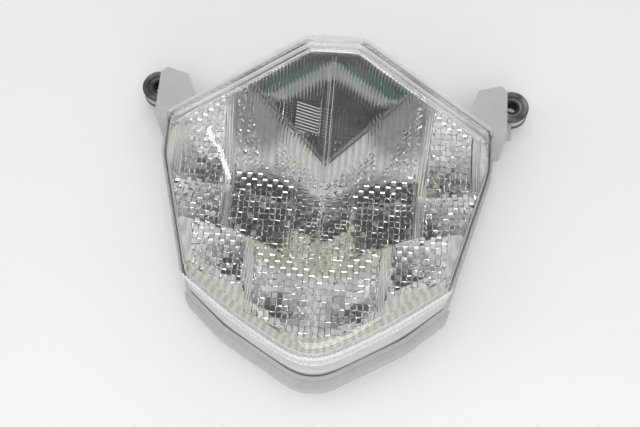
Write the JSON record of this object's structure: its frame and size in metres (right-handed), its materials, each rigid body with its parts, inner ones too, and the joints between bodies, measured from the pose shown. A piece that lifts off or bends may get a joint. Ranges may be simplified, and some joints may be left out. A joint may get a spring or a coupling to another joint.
{
  "type": "motorcycle tail light",
  "caption": "Shield-shaped LED tail light for a motorcycle, with a clear prism lens, a light-grey housing and rubber-bushed mounting ears.",
  "frame": {"origin": "on the back face, in the middle of the lamp's width and length", "axes": "+Z the way the lens faces, +Y the top of the lamp, +X right as seen from the lens side"},
  "size_m": [0.2146, 0.1878, 0.044],
  "materials": {
    "clear_lens": "clear moulded polycarbonate",
    "guide_clear": "clear moulded acrylic, lightly frosted",
    "housing_plastic": "satin moulded",
    "dark_plastic": "satin moulded",
    "bezel_plastic": "satin moulded",
    "reflector_coat": "bright coated",
    "bush_rubber": "moulded",
    "seal_rubber": "foamed",
    "sleeve_steel": "dark zinc plated",
    "screw_steel": "zinc plated",
    "pin_metal": "tin plated",
    "membrane_white": "woven membrane",
    "board_green": "solder resist",
    "led_package": "moulded with a phosphor face",
    "chip_black": "moulded",
    "sink_aluminium": "bright"
  },
  "bodies": {
    "root": {"housing": "housing_plastic", "lens": "clear_lens", "lens_seal": "seal_rubber", "grommet_right": "bush_rubber", "grommet_left": "bush_rubber", "sleeve_right": "sleeve_steel", "sleeve_left": "sleeve_steel", "socket_body": "dark_plastic", "socket_seal": "seal_rubber", "socket_pins": "pin_metal", "vent_membrane": "membrane_white", "vent_cap": "dark_plastic", "main_board": "board_green", "tail_leds": "led_package", "brake_leds": "led_package", "resistors": "chip_black", "diodes": "chip_black", "driver_chip": "chip_black", "reflector": "reflector_coat", "reflector_screws": "screw_steel", "window_bezel": "bezel_plastic", "light_guide": "guide_clear", "guide_board": "board_green", "guide_leds": "led_package", "heat_sink": "sink_aluminium", "plate_board": "board_green", "plate_leds": "led_package"}
  },
  "joints": []
}
